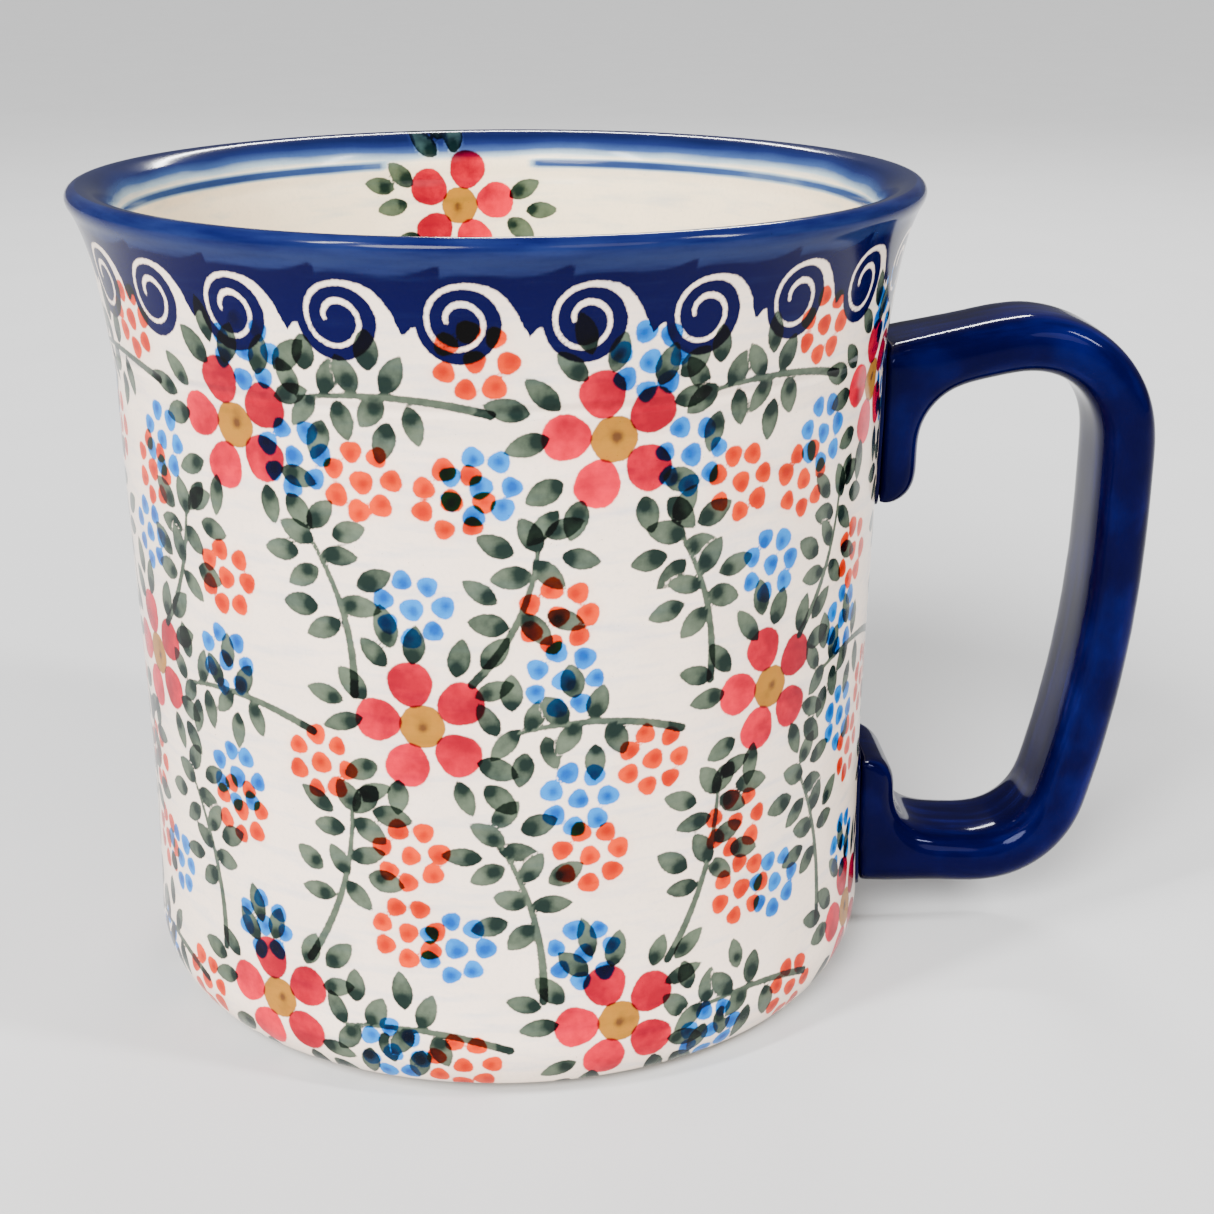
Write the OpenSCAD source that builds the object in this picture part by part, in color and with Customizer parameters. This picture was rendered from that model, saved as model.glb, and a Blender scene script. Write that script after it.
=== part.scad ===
// Stoneware mug with a flared collar and a strap handle. Millimetres, +Z up.
// The origin is the centre of the foot on the resting plane, and the handle points along +X.
// The clay carries every size; the glaze coats and the slip joints follow its surface.

/* [Cup] */
// Height of the mug, over the glaze
mug_h = 98; // [80:1:120]
// Outside diameter of the rim, over the glaze
rim_d = 100; // [96:1:120]
// Outside diameter of the wall where the collar starts, clay only
shoulder_d = 91; // [80:0.5:94]
// Outside diameter at the narrowest ring of the wall, clay only
waist_d = 89.3; // [70:0.1:100]
// Height of the narrowest ring of the wall
waist_z = 24; // [20:1:30]
// Outside diameter just above the rounded heel, clay only
heel_d = 90; // [72:0.5:100]
// Wall thickness of the clay
wall = 3.7; // [3:0.1:5]
// Thickness of the clay floor
floor_t = 5; // [4:0.5:7]
// Radius of the inside corner between the wall and the floor
corner_r = 9; // [5:0.5:12]

/* [Collar and lip] */
// Height of the flared collar
collar_h = 20.6; // [15:0.1:26]
// How far the collar leans out before the lip curls
collar_lean = 2.4; // [1.5:0.1:3.5]
// Radius of the lip's outer edge
lip_r = 0.9; // [0.7:0.1:1.5]
// Angle below the horizontal at which the lip's edge takes over from the collar
lip_angle = 20; // [15:1:25]
// Height of the rounded slope inside the lip
lip_slope_h = 5.4; // [4:0.1:8]

/* [Foot] */
// Height of the rounded heel
heel_h = 7.4; // [6:0.1:9]
// How far the heel draws in from the wall to the foot ring
heel_w = 5.6; // [4:0.1:7]
// Width of the foot ring's resting face
ring_w = 3.4; // [2.5:0.1:5]
// Depth of the recess inside the foot ring
recess_h = 1.8; // [1:0.1:2.5]
// How far the recess draws in over its depth
recess_draft = 0.8; // [0.4:0.1:1.5]

/* [Glaze and slip] */
// Thickness of the glaze coats
glaze_t = 0.35; // [0.2:0.05:0.5]
// Height of the outside glaze's lower edge above the resting plane
glaze_line = 1.6; // [1:0.1:3]
// Thickness of the slip between the wall and the handle's feet
slip_t = 0.8; // [0.6:0.1:1.2]
// Width of the slip's bead round each foot of the handle
slip_bead = 0.8; // [0.6:0.1:1.5]

/* [Handle] */
// Width of the strap
strap_w = 15; // [12:0.5:20]
// Thickness of the strap
strap_t = 6.4; // [5:0.1:8]
// Radius of the strap's rounded edges
strap_r = 2.5; // [1:0.1:2.5]
// Clear room for fingers between the wall and the grip
finger_room = 28; // [25:1:36]
// Gap from the mug's top down to the top of the handle
rim_gap = 16.8; // [12:0.1:22]
// Gap from the resting plane up to the underside of the handle
foot_gap = 6.3; // [4:0.1:12]
// Radius of the upper bend, at the middle of the strap
upper_bend_r = 12.6; // [9:0.1:15]
// Radius of the lower bend, at the middle of the strap
lower_bend_r = 11; // [8:0.5:14]
// Straight length at the top of the grip
grip_straight = 9; // [5:0.5:12]
// Lean of the grip where it meets the lower bend, in degrees
grip_lean = 15; // [8:1:18]
// Slope of the upper arm, rising away from the wall, in degrees
upper_slope = 12; // [5:1:15]
// Slope of the lower arm, falling away from the wall, in degrees
lower_slope = 3.5; // [1:0.5:8]

/* [Handle feet] */
// How far the feet stand out from the wall
pad_t = 4.7; // [4:0.1:5.5]
// Radius of the bend from the upper arm into its foot
upper_pad_r = 11; // [8:0.5:13]
// Straight length of the upper foot below its bend
upper_pad_l = 3.6; // [1:0.1:8]
// Radius of the bend from the lower arm into its foot
lower_pad_r = 9.5; // [8:0.5:11]
// Straight length of the lower foot above its bend
lower_pad_l = 1.5; // [0.5:0.1:6]

/* [Hidden] */
$fn = 96;
wall_steps = 14;    // steps along each stretch of the wall
arc_steps = 10;     // steps along each rounded edge
foot_steps = 5;     // stations along a foot's tip, and along each half of its bend
bend_steps = 12;    // stations along each bend of the strap
edge_steps = 4;     // steps round each rounded edge of the strap

clay_h = mug_h - glaze_t;
collar_z = clay_h - collar_h;
shoulder_r = shoulder_d / 2;
waist_r = waist_d / 2;
heel_r = heel_d / 2;
foot_r = heel_r - heel_w;
ring_in_r = foot_r - ring_w;
base_r = ring_in_r - recess_draft;
floor_z = recess_h + floor_t;

// centre of the lip's outer edge, and where the collar runs into it
lip_x = rim_d / 2 - glaze_t - lip_r;
lip_z = clay_h - lip_r;
collar_end_x = lip_x + lip_r * cos(lip_angle);
collar_end_z = lip_z - lip_r * sin(lip_angle);
lip_curl = collar_end_x - shoulder_r - collar_lean;
slope_z = clay_h - lip_slope_h;

// Outside radius of the clay at height z, above the rounded heel
function ease(s) = s * s * (3 - 2 * s);
function collar_at(t) = shoulder_r + collar_lean * t + lip_curl * pow(t, 5);
function shell_r(z) =
    z < waist_z ? waist_r + (heel_r - waist_r) * pow((waist_z - z) / (waist_z - heel_h), 2)
    : z < collar_z ? waist_r + (shoulder_r - waist_r) * ease((z - waist_z) / (collar_z - waist_z))
    : collar_at((z - collar_z) / (collar_end_z - collar_z));

// An arc of an ellipse from angle a to angle b
function arc(cx, cz, rx, rz, a, b, n = arc_steps) =
    [for (i = [0:n]) let (t = a + (b - a) * i / n) [cx + rx * cos(t), cz + rz * sin(t)]];
// The wall's outside from height a to height b, stood off by o, without its first point
function rise(a, b, o, n = wall_steps) =
    [for (i = [1:n]) let (z = a + (b - a) * i / n) [shell_r(z) + o, z]];

// Angle on the rounded heel at height z, when the coat stands off by o
function heel_angle(z, o) = -asin((heel_h - z) / (heel_h + o));
// Outside of the cup, stood off by o, from height z on the heel up to the lip's crest
function outside(o, z = 0) = concat(
    arc(heel_r - heel_w, heel_h, heel_w + o, heel_h + o, heel_angle(z, o), 0),
    rise(heel_h, waist_z, o),
    rise(waist_z, collar_z, o),
    rise(collar_z, collar_end_z, o),
    arc(lip_x, lip_z, lip_r + o, lip_r + o, 0, 90));
// Inside of the cup, stood off by o, from the lip's crest down to the middle of the floor
slope_w = lip_x - shell_r(slope_z) + wall;
function inside(o) = concat(
    arc(lip_x, slope_z, slope_w + o, lip_slope_h + o, 90, 180),
    [for (i = [1:wall_steps]) let (z = slope_z + (collar_z - slope_z) * i / wall_steps)
        [shell_r(z) - wall - o, z]],
    [for (i = [1:wall_steps]) let (z = collar_z + (floor_z + corner_r - collar_z) * i / wall_steps)
        [shell_r(z) - wall - o, z]],
    arc(shell_r(floor_z + corner_r) - wall - corner_r, floor_z + corner_r,
        corner_r - o, corner_r - o, 0, -90),
    [[0, floor_z + o]]);

function reversed(p) = [for (i = [len(p) - 1:-1:0]) p[i]];

// ---- handle, laid out in the XZ plane ----
// height of the foot joints' middles, only to read the wall's radius there
upper_joint_z = clay_h - rim_gap - upper_bend_r;
lower_joint_z = foot_gap + strap_t + lower_pad_r;
arm_z = mug_h - rim_gap - strap_t / 2;
grip_x = shoulder_r + finger_room + strap_t / 2;
upper_bend = [grip_x - upper_bend_r, arm_z - upper_bend_r];
lower_bend_z = foot_gap + strap_t / 2 + lower_bend_r;
bow_top_z = upper_bend[1] - grip_straight;
bow_end_z = lower_bend_z - lower_bend_r * sin(grip_lean);
bow_r = (bow_top_z - bow_end_z) / sin(grip_lean);
lower_bend = [grip_x - bow_r * (1 - cos(grip_lean)) - lower_bend_r * cos(grip_lean), lower_bend_z];

// ends of the bends, where the straight arms start
function on_circle(c, r, a) = c + r * [cos(a), sin(a)];
upper_arm = on_circle(upper_bend, upper_bend_r, 90 + upper_slope);
lower_arm = on_circle(lower_bend, lower_bend_r, -90 - lower_slope);
// the point of an arm at distance x from the axis
function on_arm(p, slope, x) = [x, p[1] + (x - p[0]) * tan(slope)];

// centres of the bends into the feet
upper_pad_x = shell_r(upper_joint_z) + pad_t - strap_t / 2;
lower_pad_x = shell_r(lower_joint_z) + pad_t - strap_t / 2;
upper_touch = on_arm(upper_arm, upper_slope, upper_pad_x + upper_pad_r * (1 - sin(upper_slope)));
lower_touch = on_arm(lower_arm, -lower_slope, lower_pad_x + lower_pad_r * (1 - sin(lower_slope)));
upper_pad = upper_touch + upper_pad_r * [sin(upper_slope), -cos(upper_slope)];
lower_pad = lower_touch + lower_pad_r * [sin(lower_slope), cos(lower_slope)];
upper_pad_end = upper_pad[1] - upper_pad_l;
lower_pad_end = lower_pad[1] + lower_pad_l;

// The foot stations: each is a pair of points, the strap's outer side and its finger side.
// The outer side of a foot stays hidden behind the wall's face until the arm leaves it.
root_x = min(shell_r(upper_joint_z), shell_r(lower_joint_z)) - wall / 2;
function pairs(outer, inner) = [for (i = [0:len(outer) - 1]) [outer[i], inner[i]]];
function between(p, q, s) = p + (q - p) * s;
function bend_pairs(c, r, h, a, b, n) =
    pairs(arc(c[0], c[1], r + h, r + h, a, b, n), arc(c[0], c[1], r - h, r - h, a, b, n));

// A foot from its tip to the arm: c and r are its bend, tip the middle of its rounded end,
// touch the point where the bend leaves the arm, out the arm's outward normal,
// and a the angle of the bend at the arm; up is 1 for the upper foot and -1 for the lower
function foot_pairs(c, r, tip, touch, out, a, up, h) =
    let (edge = touch + h * out,
         root = [root_x, edge[1] + (edge[0] - root_x) * out[0] / out[1]],
         side = [root_x, c[1]],
         cap = arc(tip[0], tip[1], h, h, -90 * up, 0, foot_steps),
         curve = arc(c[0], c[1], r - h, r - h, 180 * up, a, 2 * foot_steps))
    concat(
        [for (p = cap) [[root_x, p[1]], p]],
        [for (i = [0:2 * foot_steps])
            [i < foot_steps ? between(side, root, i / foot_steps)
                            : between(root, edge, i / foot_steps - 1), curve[i]]]);

// Every station of the strap, from the tip of the upper foot to the tip of the lower one
function stations(o) = let (h = strap_t / 2 + o) concat(
    foot_pairs(upper_pad, upper_pad_r, [upper_pad_x, upper_pad_end], upper_touch,
        [-sin(upper_slope), cos(upper_slope)], 90 + upper_slope, 1, h),
    bend_pairs(upper_bend, upper_bend_r, h, 90 + upper_slope, 0, bend_steps),
    bend_pairs([grip_x - bow_r, bow_top_z], bow_r, h, 0, -grip_lean, foot_steps),
    [for (i = [1:bend_steps]) let (t = -grip_lean - (90 + lower_slope - grip_lean) * i / bend_steps)
        [on_circle(lower_bend, lower_bend_r + h, t), on_circle(lower_bend, lower_bend_r - h, t)]],
    reversed(foot_pairs(lower_pad, lower_pad_r, [lower_pad_x, lower_pad_end], lower_touch,
        [-sin(lower_slope), -cos(lower_slope)], -90 - lower_slope, -1, h)));

// A rounded rectangle of half length l, half width w and corner radius r, as a loop of points
function section(l, w, r) =
    [for (q = [0:3], k = [0:edge_steps])
        let (t = 90 * (q + k / edge_steps), sx = q == 0 || q == 3 ? 1 : -1, sy = q < 2 ? 1 : -1)
        [sx * (l - r) + r * cos(t), sy * (w - r) + r * sin(t)]];

// The whole strap with both feet, stood off by o, before the cup is cut away from it
module strap(o) {
    path = stations(o);
    m = 4 * (edge_steps + 1);
    last = len(path) - 1;
    points = [for (s = path)
        let (mid = (s[0] + s[1]) / 2, l = norm(s[0] - s[1]) / 2, d = (s[0] - s[1]) / (2 * l))
        for (q = section(l, strap_w / 2 + o, min(strap_r + o, 0.95 * l)))
            [mid[0] + q[0] * d[0], q[1], mid[1] + q[0] * d[1]]];
    sides = [for (i = [0:last - 1], j = [0:m - 1])
        [i * m + j, i * m + (j + 1) % m, (i + 1) * m + (j + 1) % m, (i + 1) * m + j]];
    polyhedron(points, concat(
        [[for (j = [m - 1:-1:0]) j]], sides, [[for (j = [0:m - 1]) last * m + j]]));
}

// ---- the cup ----
// Everything within the outside of the cup, stood off by o
module cup_envelope(o) {
    rotate_extrude() polygon(concat([[0, -1], [foot_r + o, -1]], outside(o), [[0, clay_h + o]]));
}

// The coat on the outside of the cup, from the foot's height z up to the lip's crest
module outside_coat(o, z) {
    rotate_extrude() polygon(concat(outside(o, z), reversed(outside(0, z))));
}

// The patch of wall that a foot of the handle covers, with its bead of slip, from height a to b
module footprint(a, b) {
    w = strap_w + 2 * slip_bead;
    h = b - a + 2 * slip_bead;
    r = strap_r + slip_bead;
    translate([0, 0, (a + b) / 2]) rotate([90, 0, 90]) linear_extrude(rim_d) {
        square([w, h - 2 * r], center = true);
        square([w - 2 * r, h], center = true);
        for (x = [-1, 1], y = [-1, 1])
            translate([x * (w / 2 - r), y * (h / 2 - r)]) circle(r);
    }
}
module upper_footprint() {
    top = upper_touch[1] + strap_t / 2 / cos(upper_slope)
        - (upper_touch[0] - shell_r(upper_joint_z) - slip_t) * tan(upper_slope);
    footprint(upper_pad_end - strap_t / 2, top);
}
module lower_footprint() {
    bottom = lower_touch[1] - strap_t / 2 / cos(lower_slope)
        + (lower_touch[0] - shell_r(lower_joint_z) - slip_t) * tan(lower_slope);
    footprint(bottom, lower_pad_end + strap_t / 2);
}

// ---- the sub-parts ----
module cup_body() {
    color("#cbb596") rotate_extrude() polygon(concat(
        outside(0), inside(0),
        [[0, recess_h], [base_r, recess_h], [ring_in_r, 0]]));
}

module handle() {
    color("#bfa888") difference() {
        strap(0);
        cup_envelope(slip_t);
    }
}

module upper_slip_joint() {
    color("#8d7a60") intersection() {
        outside_coat(slip_t, glaze_line);
        upper_footprint();
    }
}

module lower_slip_joint() {
    color("#8d7a60") intersection() {
        outside_coat(slip_t, glaze_line);
        lower_footprint();
    }
}

module outer_glaze() {
    color("#eee8de") difference() {
        outside_coat(glaze_t, glaze_line);
        upper_footprint();
        lower_footprint();
    }
}

module inner_glaze() {
    color("#f2ecdc") rotate_extrude() polygon(concat(inside(glaze_t), reversed(inside(0))));
}

module base_glaze() {
    color("#e8e2d4") translate([0, 0, recess_h - glaze_t]) cylinder(h = glaze_t, r = base_r);
}

module handle_glaze() {
    color("#16255f") difference() {
        strap(glaze_t);
        strap(0);
        cup_envelope(slip_t);
    }
}

cup_body();
handle();
upper_slip_joint();
lower_slip_joint();
outer_glaze();
inner_glaze();
base_glaze();
handle_glaze();
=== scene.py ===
"""A painted stoneware mug with a strap handle, on a plain pale floor. Lengths are in millimetres
until a piece is made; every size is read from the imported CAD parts."""
import math
import random

import bpy
import numpy as np
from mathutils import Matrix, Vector


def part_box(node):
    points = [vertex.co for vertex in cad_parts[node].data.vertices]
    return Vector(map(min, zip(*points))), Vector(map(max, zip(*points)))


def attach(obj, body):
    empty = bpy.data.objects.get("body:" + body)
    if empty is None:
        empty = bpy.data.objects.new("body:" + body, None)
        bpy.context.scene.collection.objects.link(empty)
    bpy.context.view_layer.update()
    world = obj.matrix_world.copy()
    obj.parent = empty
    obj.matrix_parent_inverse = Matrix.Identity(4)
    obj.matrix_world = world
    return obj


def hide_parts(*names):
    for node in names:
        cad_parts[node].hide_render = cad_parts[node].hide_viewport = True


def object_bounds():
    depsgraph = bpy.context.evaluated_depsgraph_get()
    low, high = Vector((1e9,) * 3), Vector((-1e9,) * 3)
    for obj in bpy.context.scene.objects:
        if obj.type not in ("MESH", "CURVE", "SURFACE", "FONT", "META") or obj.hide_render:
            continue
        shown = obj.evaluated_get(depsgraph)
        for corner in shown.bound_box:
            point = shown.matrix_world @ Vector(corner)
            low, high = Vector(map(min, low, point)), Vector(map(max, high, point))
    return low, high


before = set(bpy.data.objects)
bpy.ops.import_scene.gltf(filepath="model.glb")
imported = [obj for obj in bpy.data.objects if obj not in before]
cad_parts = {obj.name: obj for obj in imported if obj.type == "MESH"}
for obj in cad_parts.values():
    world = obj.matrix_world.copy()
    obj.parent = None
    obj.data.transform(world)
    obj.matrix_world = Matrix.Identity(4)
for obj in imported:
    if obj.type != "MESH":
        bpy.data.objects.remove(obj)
size_at_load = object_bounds()

MM = 0.001
# a face looks away from the axis, or towards it, where its normal leans at least this far
LEAN = 0.03
# a ring of vertices counts with this share of the fullest ring, and this far from the one before
FULL_RING, RING_GAP = 0.3, 0.05
# a turn of a profile is sharp from so many degrees, if it is so many times its neighbours
SHARP_TURN, SHARP_TIMES = 3.0, 3


# ---------------------------------------------------------------- profiles of the turned parts

def points_of(node):
    """The vertices of a CAD part, in mm."""
    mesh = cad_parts[node].data
    co = np.zeros(len(mesh.vertices) * 3)
    mesh.vertices.foreach_get("co", co)
    return co.reshape(-1, 3) / MM


def rings_of(node, side):
    """(radius, height) of the rings of vertices on one side of a turned part, by rising height:
    side is 1 for the surface that looks away from the axis, -1 for the one that looks towards it."""
    co = points_of(node)
    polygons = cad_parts[node].data.polygons
    corners = np.array([p.vertices[:3] for p in polygons])
    normals = np.array([p.normal[:] for p in polygons])
    middle = co[corners].mean(axis=1)
    away = (normals[:, :2] * middle[:, :2]).sum(axis=1) / np.hypot(*middle[:, :2].T)
    used = np.unique(corners[side * away > LEAN])
    rz = np.column_stack((np.hypot(co[used, 0], co[used, 1]), co[used, 2])).round(2)
    rings, count = np.unique(rz, axis=0, return_counts=True)
    rings = rings[count > FULL_RING * count.max()]
    rings = rings[np.argsort(rings[:, 1])]
    apart = np.hypot(*np.diff(rings, axis=0).T) > RING_GAP
    return rings[np.concatenate(([True], apart))]


def smooth_rows(knots, step):
    """Rows along a curve through the knots, about one step apart; a lone sharp turn stays sharp."""
    way = np.diff(knots, axis=0)
    heading = np.unwrap(np.arctan2(way[:, 1], way[:, 0]))
    turn = np.degrees(np.abs(np.diff(heading)))
    corners = [0]
    for i in range(1, len(turn) - 1):
        if turn[i] > SHARP_TURN and turn[i] > SHARP_TIMES * max(turn[i - 1], turn[i + 1]):
            corners.append(i + 1)
    corners.append(len(knots) - 1)
    rows = []
    for a, b in zip(corners, corners[1:]):
        part = knots[a:b + 1]
        along = np.concatenate(([0], np.cumsum(np.hypot(*np.diff(part, axis=0).T))))
        slope = np.gradient(part, along, axis=0) if len(part) > 2 else \
            np.repeat((part[1:] - part[:1]) / along[-1], 2, axis=0)
        at = np.linspace(0, along[-1], max(2, round(along[-1] / step) + 1))
        k = np.clip(np.searchsorted(along, at, side="right") - 1, 0, len(part) - 2)
        h = along[k + 1] - along[k]
        s = ((at - along[k]) / h)[:, None]
        h = h[:, None]
        curve = ((1 + 2 * s) * (1 - s) ** 2 * part[k] + s * (1 - s) ** 2 * h * slope[k]
                 + s * s * (3 - 2 * s) * part[k + 1] + s * s * (s - 1) * h * slope[k + 1])
        rows.extend(curve if not rows else curve[1:])
    return np.array(rows)


# ---------------------------------------------------------------- brush and stamp marks

INKS = ("leaf", "stem", "petal", "eye", "orange", "blue", "navy")
# the fields that a painted mesh carries
LAYERS = [*INKS, *(ink + "_tone" for ink in INKS), "wash"]
# how deep a point lies inside an ink that is nowhere near it, in mm
FAR = -9.0
# the thin gap between two leaves of one ink, in mm, and the covered share that leaves one out
LEAF_GAP, LEAF_COVERED = 0.15, 0.22
# share of a stem's full width from which the brush runs thick with ink
LOADED_BRUSH = 0.93


class Canvas:
    """A turned wall unrolled into rows and columns. Each ink keeps two fields on it: how far a
    point lies inside the ink's marks, in mm, and how strong the colour is there."""

    def __init__(self, rows, columns):
        self.radius, self.height = rows[:, 0], rows[:, 1]
        self.columns = columns
        self.angle = 360.0 * np.arange(columns) / columns - 180.0
        self.inside = {ink: np.full((len(rows), columns), FAR) for ink in INKS}
        self.tone = {ink: np.zeros((len(rows), columns)) for ink in INKS}

    def radius_at(self, z, rows=slice(None)):
        """The wall's radius at a height, read between the given rows, which rise or fall."""
        heights, radii = self.height[rows], self.radius[rows]
        if self.height[0] >= self.height[-1]:
            heights, radii = heights[::-1], radii[::-1]
        return float(np.interp(z, heights, radii))

    def window(self, angle, z, reach):
        """Rows and columns within reach of a place, and their offsets from it in mm."""
        rows = np.nonzero(np.abs(self.height - z) <= reach)[0]
        radius = self.radius_at(z, rows)
        middle = round((angle + 180.0) / 360.0 * self.columns)
        half = math.ceil(reach / radius / (2 * math.pi) * self.columns)
        wide = np.arange(middle - half, middle + half + 1)
        x = np.radians(wide * 360.0 / self.columns - 180.0 - angle) * radius
        y = self.height[rows] - z
        return np.ix_(rows, wide % self.columns), x[None, :] + 0 * y[:, None], y[:, None] + 0 * x[None, :]

    def lay(self, ink, cells, inside, tone):
        """Adds one mark of an ink: it counts where it lies deeper than the marks already there."""
        field, tones = self.inside[ink], self.tone[ink]
        deeper = inside > field[cells]
        field[cells] = np.where(deeper, inside, field[cells])
        tones[cells] = np.where(deeper, tone, tones[cells])


def turned(x, y, angle):
    """Offsets seen from a mark that points at an angle: along it and across it."""
    c, s = math.cos(math.radians(angle)), math.sin(math.radians(angle))
    return x * c + y * s, y * c - x * s


def spot(x, y, cx, cy, radius):
    """A soft round spot, 1 at its centre."""
    return np.exp(-((x - cx) ** 2 + (y - cy) ** 2) / radius ** 2)


class Painter:
    """Lays the marks on a canvas with a steady hand that wavers a little."""

    def __init__(self, canvas, seed):
        self.canvas = canvas
        self.dice = random.Random(seed)

    def waver(self, amount):
        return self.dice.uniform(-amount, amount)

    def leaf(self, ink, angle, z, pointing, length=4.8, width=2.45):
        """A leaf centred at a place, ink gathered near its base. It keeps a thin gap from the
        leaves of its own ink already there, and is left out where they cover much of it."""
        cells, x, y = self.canvas.window(angle, z, 0.62 * length + 0.8)
        u, v = turned(x, y, pointing + self.waver(5))
        length *= 1 + self.waver(0.08)
        half = width * (1 + self.waver(0.12)) / 2
        inside = np.full(u.shape, FAR)
        for reach, part in ((0.56 * length, u > 0), (0.44 * length, u <= 0)):
            bow = (reach ** 2 + half ** 2) / (2 * half)
            inside = np.where(part, bow - np.hypot(u, np.abs(v) + bow - half), inside)
        load = spot(u, v, -0.2 * length + self.waver(0.5), self.waver(0.25), 0.72 + self.waver(0.12))
        wash = 0.40 + self.waver(0.16) - 0.06 * u + 0.5 * np.clip(0.4 - inside, 0, 0.4)
        old = self.canvas.inside[ink]
        taken = (inside > 0) & (old[cells] > 0)
        if taken.sum() > LEAF_COVERED * (inside > 0).sum():
            return
        old[cells] = np.minimum(old[cells], -inside - LEAF_GAP)
        self.canvas.lay(ink, cells, inside, np.clip(wash + 0.9 * load, 0, 1.2))

    def offset(self, angle, z, away, distance):
        """The place at a distance from another one, in a direction in degrees."""
        radius = self.canvas.radius_at(z)
        return (angle + math.degrees(distance * math.cos(math.radians(away)) / radius),
                z + distance * math.sin(math.radians(away)))

    def triplet(self, ink, angle, z, pointing, length=4.8):
        """Three leaves that fan out from one junction."""
        spread = 46 + self.waver(4)
        for turn, out in ((0, 4.1), (spread, 2.75), (-spread, 2.75)):
            away = pointing + turn * 1.25 + self.waver(4)
            at = self.offset(angle, z, away, out + self.waver(0.25))
            self.leaf(ink, *at, pointing + turn * 0.62, length * (0.97 + self.waver(0.06)))

    def dot(self, ink, angle, z, radius):
        """One stamped dot, not quite round, with a darker core."""
        cells, x, y = self.canvas.window(angle, z, radius + 0.9)
        u, v = turned(x, y, self.waver(180))
        bulge = 1 + 0.07 * np.cos(3 * np.arctan2(v, u) + self.waver(3)) + self.waver(0.08)
        inside = radius * bulge - np.hypot(u, v * (1.04 + self.waver(0.06)))
        core = spot(u, v, self.waver(0.3), self.waver(0.3), 0.62)
        self.canvas.lay(ink, cells, inside, np.clip(0.22 + self.waver(0.2) + 0.8 * core, 0, 1))

    def cluster(self, ink, angle, z):
        """A centre dot and a ring of seven round it."""
        start = 105 + self.waver(8)
        self.dot(ink, angle, z, 1.27)
        for k in range(7):
            at = self.offset(angle, z, start - 360 / 7 * k + self.waver(4), 3.22 + self.waver(0.15))
            self.dot(ink, *at, 1.2)

    def petal(self, angle, z, pointing, strength):
        """A broad round petal, a little narrower towards the eye, darker where the brush was lifted."""
        cells, x, y = self.canvas.window(angle, z, 4.2)
        u, v = turned(x, y, pointing)
        narrow = 1 + 0.055 * u + 0.02 * np.cos(5 * np.arctan2(v, u) + self.waver(3))
        inside = (1 - np.hypot(u / 2.62, v / (2.46 * narrow))) * 2.5
        lift = spot(u, v, 0.6 + self.waver(1.2), 1.3 * self.dice.choice((-1, 1)), 1.7)
        self.canvas.lay("petal", cells, inside, np.clip(strength + 0.34 * lift - 0.04 * u, 0, 1.1))

    def flower(self, angle, z, leaves=True):
        """Five petals round an ochre eye; a triplet of leaves grows from the tip of each petal."""
        tilt = self.waver(3)
        strengths = (0.62, 0.74, 0.6, 0.3, 0.36)
        for k, strength in enumerate(strengths):
            away = 105 - 72 * k + tilt + self.waver(2)
            at = self.offset(angle, z, away, 4.85 + self.waver(0.1))
            self.petal(*at, away, strength + self.waver(0.1))
        cells, x, y = self.canvas.window(angle, z, 3.2)
        rim = 2.5 + 0.05 * np.cos(6 * np.arctan2(y, x))
        core = spot(x, y, 0.3 + self.waver(0.4), self.waver(0.4), 0.55)
        blot = 0.35 * spot(x, y, self.waver(1.2), self.waver(1.2), 1.1)
        self.canvas.lay("eye", cells, rim - np.hypot(x, y), core + blot)
        for away in (105, 44, -46, -126, 165) if leaves else ():
            away += tilt + self.waver(4)
            self.triplet("leaf", *self.offset(angle, z, away, 7.1), away)

    def stem(self, points, thick):
        """A brushed line through places (angle, z), thin where it starts and thick where it ends."""
        for (a0, z0, w0), (a1, z1, w1) in zip(points, points[1:]):
            cells, x, y = self.canvas.window((a0 + a1) / 2, (z0 + z1) / 2, 2.6)
            radius = self.canvas.radius_at(z0)
            end = np.array([math.radians(a1 - a0) * radius, z1 - z0]) / 2
            along = np.clip((x * end[0] + y * end[1]) / (2 * end @ end) + 0.5, 0, 1)
            near = np.hypot(x - (2 * along - 1) * end[0], y - (2 * along - 1) * end[1])
            half = thick / 2 * (w0 + (w1 - w0) * along)
            self.canvas.lay("stem", cells, half - near, 0.42 + 0.45 * (w0 > LOADED_BRUSH) + 0 * near)

    def bowed(self, start, end, bow):
        """Length, heading in degrees, and the place at each share of a bowed line; bow is its rise."""
        radius = self.canvas.radius_at(start[1])
        run = np.array([math.radians(end[0] - start[0]) * radius, end[1] - start[1]])
        length = np.hypot(*run)
        across = np.array([-run[1], run[0]]) / length

        def at_share(t):
            x, y = run * t + across * bow * 4 * t * (1 - t)
            return start[0] + math.degrees(x / radius), start[1] + y

        return length, math.degrees(math.atan2(run[1], run[0])), at_share

    def sprig_leaves(self, start, end, bow):
        """Two pairs of leaf triplets near the thin end of a bowed stem."""
        _, heading, at_share = self.bowed(start, end, bow)
        for t, side in ((0.06, 1), (0.14, -1), (0.40, 1), (0.50, -1)):
            lean = heading + 180 - side * (80 + self.waver(9))
            at = self.offset(*at_share(t + self.waver(0.02)), lean, 0.4)
            self.triplet("stem", *at, lean, 4.6)

    def sprig_stem(self, start, end, bow):
        """The bowed stem itself, brushed over its leaves."""
        length, _, at_share = self.bowed(start, end, bow)
        steps = max(6, round(length / 1.6))
        self.stem([(*at_share(i / steps), 0.45 + 0.55 * i / steps) for i in range(steps + 1)], 1.05)


# ---------------------------------------------------------------- where the marks go

PER_ROW = 7
CELL = 360.0 / PER_ROW
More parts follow.
